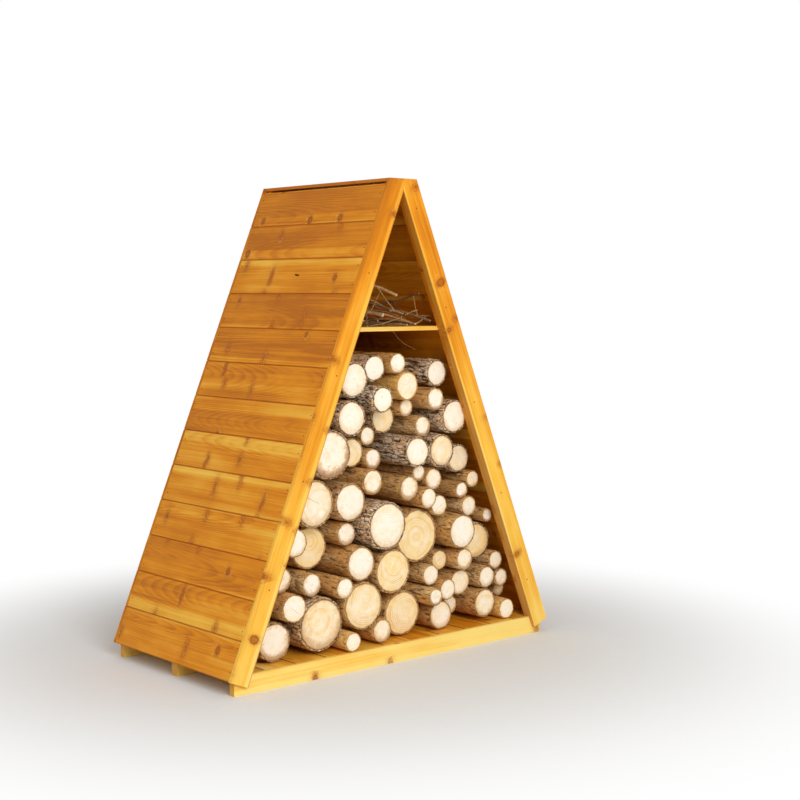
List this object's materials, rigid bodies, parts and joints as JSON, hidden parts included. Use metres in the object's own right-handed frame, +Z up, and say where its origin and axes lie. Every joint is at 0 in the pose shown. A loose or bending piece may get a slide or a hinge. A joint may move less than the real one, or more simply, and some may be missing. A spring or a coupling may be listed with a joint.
{
  "type": "log store",
  "caption": "Tall triangular garden log store of stained tongue-and-groove boards, open at the front, filled with round firewood logs, with a small kindling shelf near the top.",
  "frame": {"origin": "middle of the store's footprint, on the ground that its bearers stand on", "axes": "+X to the right seen from the open front, +Y from the open front to the back wall, +Z up"},
  "size_m": [1.22, 0.616, 1.41],
  "materials": {
    "stained_timber": "satin",
    "firewood": "rough"
  },
  "bodies": {
    "root": {"back_left_rafter": "stained_timber", "back_right_rafter": "stained_timber", "back_wall": "stained_timber", "firewood_layer_1": "firewood", "firewood_layer_2": "firewood", "firewood_layer_3": "firewood", "firewood_layer_4": "firewood", "floor": "stained_timber", "front_bearer": "stained_timber", "front_left_rafter": "stained_timber", "front_left_trim": "stained_timber", "front_right_rafter": "stained_timber", "front_right_trim": "stained_timber", "left_slope_board_01": "stained_timber", "left_slope_board_02": "stained_timber", "left_slope_board_03": "stained_timber", "left_slope_board_04": "stained_timber", "left_slope_board_05": "stained_timber", "left_slope_board_06": "stained_timber", "left_slope_board_07": "stained_timber", "left_slope_board_08": "stained_timber", "left_slope_board_09": "stained_timber", "left_slope_board_10": "stained_timber", "left_slope_board_11": "stained_timber", "left_slope_board_12": "stained_timber", "left_slope_board_13": "stained_timber", "middle_bearer": "stained_timber", "rear_bearer": "stained_timber", "ridge_cap": "stained_timber", "right_slope_board_01": "stained_timber", "right_slope_board_02": "stained_timber", "right_slope_board_03": "stained_timber", "right_slope_board_04": "stained_timber", "right_slope_board_05": "stained_timber", "right_slope_board_06": "stained_timber", "right_slope_board_07": "stained_timber", "right_slope_board_08": "stained_timber", "right_slope_board_09": "stained_timber", "right_slope_board_10": "stained_timber", "right_slope_board_11": "stained_timber", "right_slope_board_12": "stained_timber", "right_slope_board_13": "stained_timber", "shelf": "stained_timber", "shelf_left_cleat": "stained_timber", "shelf_right_cleat": "stained_timber"}
  },
  "joints": []
}
